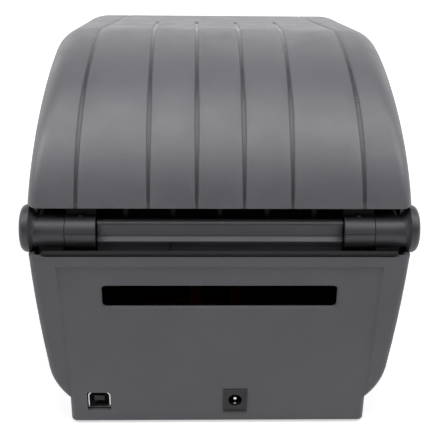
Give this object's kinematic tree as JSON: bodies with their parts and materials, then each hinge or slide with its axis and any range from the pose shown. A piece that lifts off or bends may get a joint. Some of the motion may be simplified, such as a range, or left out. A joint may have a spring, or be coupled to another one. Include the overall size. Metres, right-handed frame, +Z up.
{
  "type": "barcode printer",
  "caption": "Desktop label printer: domed hinged cover over a roll tray with sliding holders, ribbon hubs, printhead, platen and gear train, rear fan-fold slot.",
  "frame": {"origin": "middle of the footprint of the whole printer, on the surface that its feet stand on", "axes": "+X is the printer's right seen from the front, +Y points to the rear panel, +Z is up"},
  "size_m": [0.202, 0.267, 0.1902],
  "materials": {
    "base_shell": "fine matte moulded dark grey",
    "barrel": "satin dark grey",
    "cover_skin": "fine grained satin dark grey",
    "inner_black": "matte black moulding",
    "pan_black": "matte black",
    "rubber_foot": "soft matte black rubber",
    "platen_rubber": "ground black rubber",
    "bright_steel": "turned and plated steel",
    "zinc_plate": "zinc plated sheet",
    "head_metal": "cast aluminium heat sink",
    "amber_plastic": "amber touch-point plastic",
    "hub_grey": "satin grey acetal",
    "gear_white": "natural white acetal",
    "board_green": "green solder mask",
    "panel_black": "smooth black",
    "button_grey": "satin grey",
    "rocker_black": "glossy black",
    "light_lens": "translucent green lens"
  },
  "bodies": {
    "base": {"base_housing": "base_shell", "bottom_pan": "pan_black", "base_screws": "bright_steel", "foot_front_left": "rubber_foot", "foot_front_right": "rubber_foot", "foot_rear_left": "rubber_foot", "foot_rear_right": "rubber_foot", "media_tray": "inner_black", "label_sensor": "pan_black", "front_bezel": "inner_black", "tear_bar": "bright_steel", "platen_bush_left": "hub_grey", "platen_bush_right": "hub_grey", "idler_axle": "bright_steel", "stepper_motor": "zinc_plate", "main_board": "board_green", "usb_shell": "bright_steel", "usb_tongue": "pan_black", "power_inlet": "pan_black", "inlet_pin": "bright_steel", "switch_body": "pan_black", "hinge_knuckle_left": "barrel", "hinge_knuckle_right": "barrel", "hinge_pin_left": "bright_steel", "hinge_pin_right": "bright_steel", "latch_pivot_left": "bright_steel", "latch_pivot_right": "bright_steel"},
    "cover": {"cover_shell": "cover_skin", "cover_frame": "inner_black", "hinge_bar": "inner_black", "control_panel": "panel_black", "status_light": "light_lens", "leaf_spring": "bright_steel", "ribbon_idler_axle": "bright_steel"},
    "feed_button": {"feed_button": "button_grey"},
    "power_rocker": {"power_rocker": "rocker_black"},
    "printhead": {"printhead": "head_metal", "printhead_bracket": "zinc_plate"},
    "platen": {"platen_roller": "platen_rubber", "platen_shaft": "bright_steel", "platen_gear": "gear_white"},
    "idler_gear": {"idler_gear": "gear_white"},
    "motor_rotor": {"motor_pinion": "gear_white", "motor_shaft": "bright_steel"},
    "holder_left": {"roll_holder_left": "amber_plastic"},
    "holder_right": {"roll_holder_right": "amber_plastic"},
    "roll_hub_left": {"roll_hub_left": "hub_grey"},
    "roll_hub_right": {"roll_hub_right": "hub_grey"},
    "holder_pinion": {"holder_pinion": "gear_white"},
    "guide_left": {"media_guide_left": "amber_plastic"},
    "guide_right": {"media_guide_right": "amber_plastic"},
    "guide_pinion": {"guide_pinion": "gear_white"},
    "latch_left": {"latch_lever_left": "amber_plastic"},
    "latch_right": {"latch_lever_right": "amber_plastic"},
    "supply_hub_left": {"supply_hub_left": "hub_grey"},
    "supply_hub_right": {"supply_hub_right": "hub_grey"},
    "takeup_hub_left": {"takeup_hub_left": "hub_grey"},
    "takeup_hub_right": {"takeup_hub_right": "hub_grey", "takeup_gear": "gear_white"},
    "ribbon_idler": {"ribbon_idler_gear": "gear_white"}
  },
  "joints": [
    {"name": "cover_hinge", "type": "hinge", "parent": "base", "child": "cover", "pos_m": [0, 0.1204, 0.1147], "axis": [-1, 0, 0], "range_deg": [0, 95]},
    {"name": "feed_button_press", "type": "slide", "parent": "cover", "child": "feed_button", "axis": [0, 0.8829, -0.4695], "range_m": [0, 0.001], "stiffness_N_per_m": 300, "springref_m": -0.001},
    {"name": "power_rocker_tilt", "type": "hinge", "parent": "base", "child": "power_rocker", "pos_m": [0.088, 0.06, 0.045], "axis": [0, 0, 1], "range_deg": [0, 16]},
    {"name": "printhead_lift", "type": "hinge", "parent": "cover", "child": "printhead", "pos_m": [0, -0.084, 0.112], "axis": [-1, 0, 0], "range_deg": [0, 4], "stiffness_Nm_per_rad": 2, "springref_deg": -5.73},
    {"name": "platen_spin", "type": "hinge", "parent": "base", "child": "platen", "pos_m": [0, -0.112, 0.084], "axis": [1, 0, 0], "continuous": true},
    {"name": "idler_spin", "type": "hinge", "parent": "base", "child": "idler_gear", "pos_m": [0, -0.1026, 0.05968], "axis": [1, 0, 0], "continuous": true},
    {"name": "motor_spin", "type": "hinge", "parent": "base", "child": "motor_rotor", "pos_m": [0, -0.095, 0.04], "axis": [1, 0, 0], "continuous": true},
    {"name": "holder_left_slide", "type": "slide", "parent": "base", "child": "holder_left", "axis": [-1, 0, 0], "range_m": [0, 0.042]},
    {"name": "holder_right_slide", "type": "slide", "parent": "base", "child": "holder_right", "axis": [1, 0, 0], "range_m": [0, 0.042]},
    {"name": "holder_pinion_spin", "type": "hinge", "parent": "base", "child": "holder_pinion", "pos_m": [0, 0.035, 0.00775], "axis": [0, 0, 1], "range_deg": [-245, 5]},
    {"name": "roll_hub_left_spin", "type": "hinge", "parent": "holder_left", "child": "roll_hub_left", "pos_m": [-0.005, 0.035, 0.08], "axis": [1, 0, 0], "continuous": true},
    {"name": "roll_hub_right_spin", "type": "hinge", "parent": "holder_right", "child": "roll_hub_right", "pos_m": [0.005, 0.035, 0.08], "axis": [1, 0, 0], "continuous": true},
    {"name": "guide_left_slide", "type": "slide", "parent": "base", "child": "guide_left", "axis": [-1, 0, 0], "range_m": [0, 0.042]},
    {"name": "guide_right_slide", "type": "slide", "parent": "base", "child": "guide_right", "axis": [1, 0, 0], "range_m": [0, 0.042]},
    {"name": "guide_pinion_spin", "type": "hinge", "parent": "base", "child": "guide_pinion", "pos_m": [0, -0.06, 0.0645], "axis": [0, 0, 1], "range_deg": [-405, 5]},
    {"name": "latch_left_pull", "type": "hinge", "parent": "base", "child": "latch_left", "pos_m": [-0.082, -0.052, 0.072], "axis": [1, 0, 0], "range_deg": [0, 12], "stiffness_Nm_per_rad": 0.3, "springref_deg": -5.73},
    {"name": "latch_right_pull", "type": "hinge", "parent": "base", "child": "latch_right", "pos_m": [0.082, -0.052, 0.072], "axis": [1, 0, 0], "range_deg": [0, 12], "stiffness_Nm_per_rad": 0.3, "springref_deg": -5.73},
    {"name": "supply_left_spin", "type": "hinge", "parent": "cover", "child": "supply_hub_left", "pos_m": [-0.06, -0.014, 0.152], "axis": [1, 0, 0], "continuous": true},
    {"name": "supply_right_spin", "type": "hinge", "parent": "cover", "child": "supply_hub_right", "pos_m": [0.06, -0.014, 0.152], "axis": [1, 0, 0], "continuous": true},
    {"name": "takeup_left_spin", "type": "hinge", "parent": "cover", "child": "takeup_hub_left", "pos_m": [-0.06, -0.062, 0.135], "axis": [1, 0, 0], "continuous": true},
    {"name": "takeup_right_spin", "type": "hinge", "parent": "cover", "child": "takeup_hub_right", "pos_m": [0.06, -0.062, 0.135], "axis": [1, 0, 0], "continuous": true},
    {"name": "ribbon_idler_spin", "type": "hinge", "parent": "cover", "child": "ribbon_idler", "pos_m": [0.073, -0.08727, 0.10922], "axis": [1, 0, 0], "continuous": true}
  ],
  "couplings": [
    {"joint": "idler_spin", "follows": "platen_spin", "ratio": -0.73333},
    {"joint": "motor_spin", "follows": "platen_spin", "ratio": 1.8333},
    {"joint": "holder_right_slide", "follows": "holder_left_slide", "ratio": 1},
    {"joint": "holder_pinion_spin", "follows": "holder_left_slide", "rad_per_m": -100},
    {"joint": "guide_right_slide", "follows": "guide_left_slide", "ratio": 1},
    {"joint": "guide_pinion_spin", "follows": "guide_left_slide", "rad_per_m": -166.67},
    {"joint": "takeup_right_spin", "follows": "ribbon_idler_spin", "ratio": -1.4}
  ]
}
